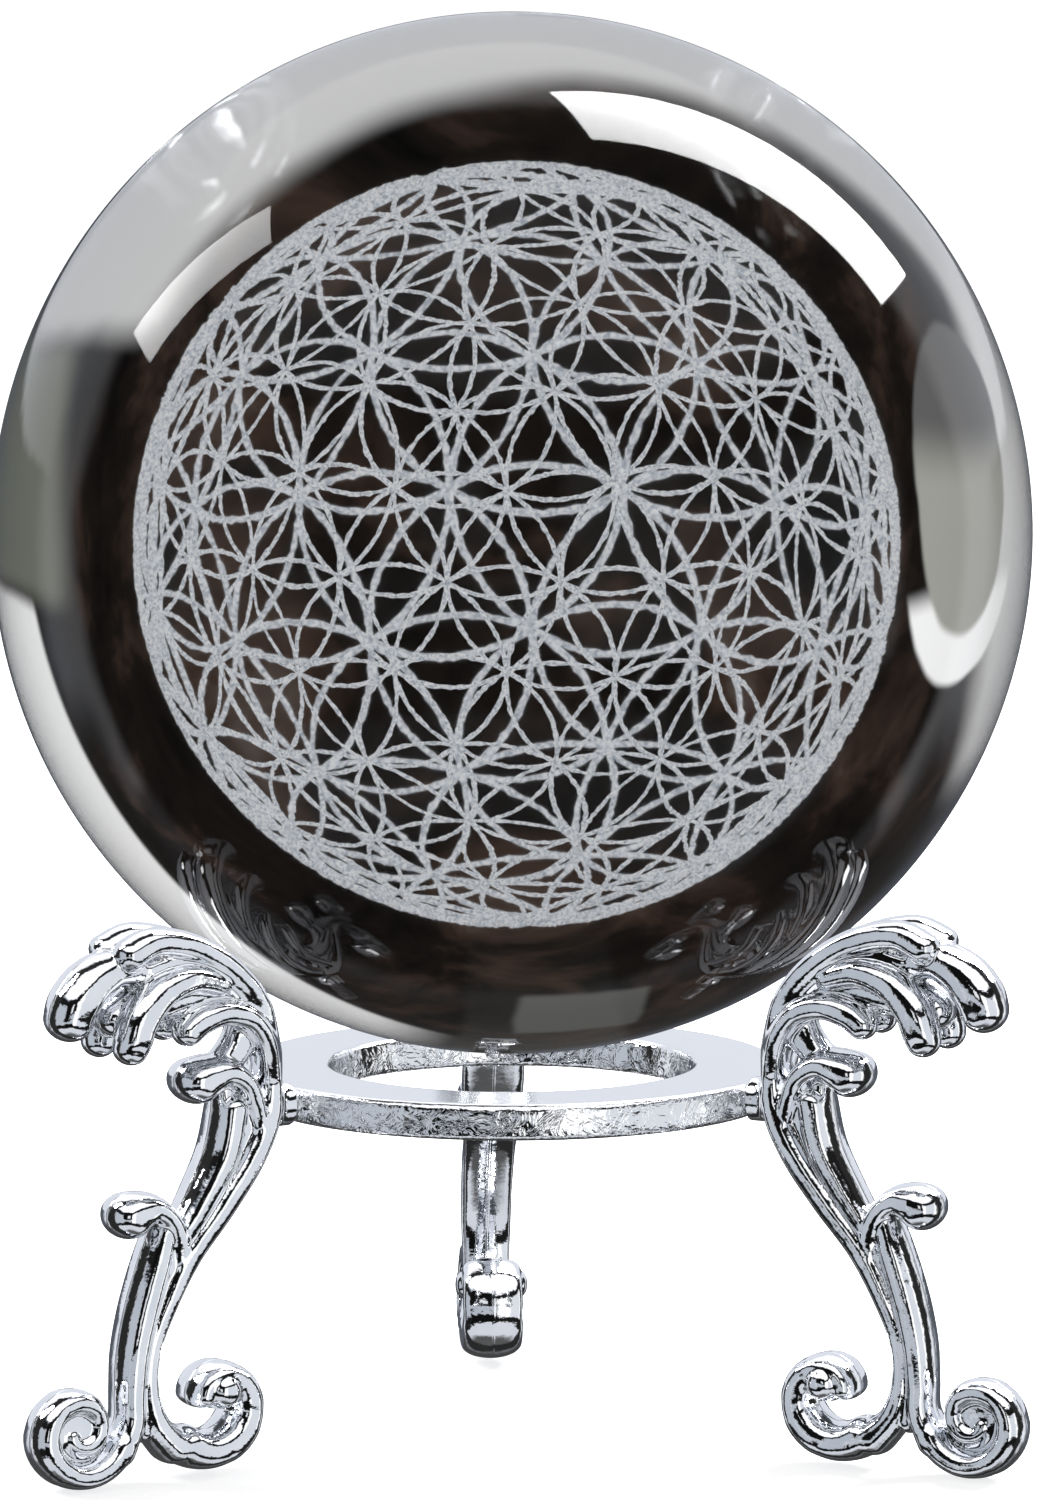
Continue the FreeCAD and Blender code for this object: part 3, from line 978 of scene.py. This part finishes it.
def studio_for_glass(tree, direction):
    """A dark, smoky room with a pale table, a wall and a round panel at the left, and a window."""
    x, y, z = wavering(tree, direction, *GLASS_WAVER)
    seen = ramp_node(tree, noise_node(tree, direction, 3.2, 5.0, 0.6, 0.6), SMOKE)
    shelf = product(tree, between(tree, z, SHELF_HEIGHTS, 0.03), step_node(tree, x, 0.74, 0.82))
    seen = mixed(tree, shelf, seen, SHELF)
    card = product(tree, between(tree, x, CARD_WIDTHS, 0.01), between(tree, z, CARD_HEIGHTS, 0.01))
    seen = mixed(tree, card, seen, CARD)
    slanted = math_node(tree, "SUBTRACT", y, math_node(tree, "MULTIPLY", x, TABLE_SLANT))
    side = product(tree, step_node(tree, y, 0.02, 0.14), step_node(tree, slanted, 0.64, 0.52))
    table = product(tree, step_node(tree, z, -0.36, -0.44), side)
    table = math_node(tree, "MAXIMUM", table, step_node(tree, z, -0.78, -0.88))
    seen = mixed(tree, table, seen, TABLE)
    wall = product(
        tree,
        step_node(tree, x, -0.74, -0.84),
        step_node(tree, y, -0.1, 0.1),
        step_node(tree, z, 0.52, 0.36),
    )
    seen = mixed(tree, wall, seen, WALL)
    towards = tree.nodes.new("ShaderNodeVectorMath")
    towards.operation = "DOT_PRODUCT"
    tree.links.new(direction, towards.inputs[0])
    towards.inputs[1].default_value = WINDOW_EDGE
    window = product(
        tree,
        step_node(tree, towards.outputs["Value"], -0.07, -0.04),
        step_node(tree, z, 0.05, 0.09),
        step_node(tree, x, 0.10, 0.30),
        step_node(tree, y, 0.02, 0.10),
    )
    seen = mixed(tree, window, seen, WINDOW)
    shape = round_panel(tree, x, z)
    ahead = step_node(tree, y, 0.10, 0.20)
    glow = product(tree, step_node(tree, shape, 1.9, 1.7), step_node(tree, z, 0.00, 0.05), ahead)
    seen = mixed(tree, glow, seen, GLOW)
    panel = product(tree, step_node(tree, shape, 1.08, 0.92), ahead)
    shade = mixed(tree, step_node(tree, z, -0.26, -0.14), PANEL_LOW, PANEL_HIGH)
    return mixed(tree, panel, seen, shade)


# ---------------------------------------------------------------- stage, lights and camera
WORLD_FILL = 0.55
SOFT_BOX_DISTANCE = 0.90
FLOOR_SIZE = 3.0
FLOOR_DROP = 0.2 * MM
FLOOR_TINT = grey(0.8)
FLOOR_GLOW = 0.55
CAMERA_AZIMUTH = -3.5
CAMERA_DISTANCE = 0.745
CAMERA_HEIGHT = RING_TOP + 122.6 * MM
CAMERA_PITCH = 7.52
CAMERA_YAW = 0.06
CAMERA_LENS = 234.0
SENSOR_WIDTH = 36.0


def make_world():
    """The camera sees white, diffuse light is even, and metal and glass see their studios."""
    world = bpy.data.worlds.new("studio")
    bpy.context.scene.world = world
    world.use_nodes = True
    tree = world.node_tree
    tree.nodes.clear()
    out = tree.nodes.new("ShaderNodeOutputWorld")
    light_path = tree.nodes.new("ShaderNodeLightPath")
    direction = tree.nodes.new("ShaderNodeTexCoord").outputs["Generated"]
    inside = between(tree, light_path.outputs["Transmission Depth"], (0.5, 1.5), 0.1)
    through = math_node(tree, "MAXIMUM", light_path.outputs["Is Transmission Ray"], inside)
    seen = mixed(tree, through, studio_for_metal(tree, direction), studio_for_glass(tree, direction))
    scattered = math_node(tree, "GREATER_THAN", light_path.outputs["Diffuse Depth"], 0.5)
    seen = mixed(tree, scattered, seen, grey(WORLD_FILL))
    seen = mixed(tree, light_path.outputs["Is Camera Ray"], seen, WHITE)
    shade = tree.nodes.new("ShaderNodeBackground")
    tree.links.new(seen, shade.inputs["Color"])
    tree.links.new(shade.outputs[0], out.inputs["Surface"])


def soft_box(name, left, right, height, radiance):
    """A soft box whose long middle line runs between two directions seen from the ball."""
    start = Vector(left).normalized() * SOFT_BOX_DISTANCE
    end = Vector(right).normalized() * SOFT_BOX_DISTANCE
    long_side = end - start
    middle = (start + end) / 2
    out = middle.normalized()
    across = out.cross(long_side).normalized()
    light = bpy.data.lights.new(name, "AREA")
    light.shape = "RECTANGLE"
    light.size = long_side.length
    light.size_y = height
    light.energy = radiance * math.pi * light.size * light.size_y
    # a lamp shows only in the first surface that a ray meets, not through the glass
    light.cycles.max_bounces = 0
    lamp = bpy.data.objects.new(name, light)
    lamp.visible_transmission = False
    bpy.context.scene.collection.objects.link(lamp)
    facing = Matrix((long_side.normalized(), across, out)).transposed().to_4x4()
    facing.translation = BALL_CENTRE + middle
    lamp.matrix_world = facing
    lamp.visible_camera = False


def make_lights():
    soft_box(
        "key_strip",
        left=(0.16, 0.336, 0.928),
        right=(0.785, 0.446, 0.43),
        height=0.255,
        radiance=24.0,
    )
    soft_box(
        "left_box",
        left=(-0.862, 0.291, 0.416),
        right=(-0.605, 0.181, 0.776),
        height=0.16,
        radiance=15.0,
    )


def make_floor():
    corners = [(x * FLOOR_SIZE, y * FLOOR_SIZE, 0) for x, y in ((-1, -1), (1, -1), (1, 1), (-1, 1))]
    mesh = bpy.data.meshes.new("floor")
    mesh.from_pydata(corners, [], [(0, 1, 2, 3)])
    floor = place("floor", mesh)
    floor.location.z = -FLOOR_DROP
    material, _, shader = new_material("floor_white")
    shader.inputs["Base Color"].default_value = opaque(FLOOR_TINT)
    shader.inputs["Roughness"].default_value = 0.8
    shader.inputs["Emission Color"].default_value = opaque(WHITE)
    shader.inputs["Emission Strength"].default_value = FLOOR_GLOW
    mesh.materials.append(material)
    floor.visible_transmission = False
    floor.visible_glossy = False


def make_camera():
    data = bpy.data.cameras.new("camera")
    data.lens = CAMERA_LENS
    data.sensor_width = SENSOR_WIDTH
    camera = bpy.data.objects.new("camera", data)
    bpy.context.scene.collection.objects.link(camera)
    turn = math.radians(CAMERA_AZIMUTH)
    camera.location = (
        math.sin(turn) * CAMERA_DISTANCE,
        -math.cos(turn) * CAMERA_DISTANCE,
        CAMERA_HEIGHT,
    )
    camera.rotation_euler = (math.radians(90.0 - CAMERA_PITCH), 0.0, turn - math.radians(CAMERA_YAW))
    bpy.context.scene.camera = camera


# ---------------------------------------------------------------- build
bpy.context.scene.view_settings.view_transform = "Standard"
chrome = chrome_material()
leg_mesh = make_leg_mesh()
leg_mesh.materials.append(chrome)
for leg_name, leg_angle in LEG_ANGLES.items():
    leg = place(leg_name + "_cast", leg_mesh)
    leg.rotation_euler = (0.0, 0.0, math.radians(leg_angle))
    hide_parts(leg_name)
    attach(leg, "stand")

ring = place("seat_ring_cast", make_ring_mesh())
ring.data.materials.append(ring_material())
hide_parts("seat_ring")
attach(ring, "stand")
ring.visible_glossy = False

ball = place("glass_ball", make_ball_mesh())
ball.data.materials.append(glass_material())
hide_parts("crystal_ball")
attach(ball, "ball")
ball.visible_glossy = False

engraving = place("engraving", make_engraving_mesh())
engraving.data.materials.append(engraving_material())
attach(engraving, "ball")
engraving.visible_glossy = False

steel = steel_material()
for stud_name in ("stud_left", "stud_right", "stud_rear"):
    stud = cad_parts[stud_name]
    stud.data.materials.clear()
    stud.data.materials.append(steel)

make_floor()
make_world()
make_lights()
make_camera()
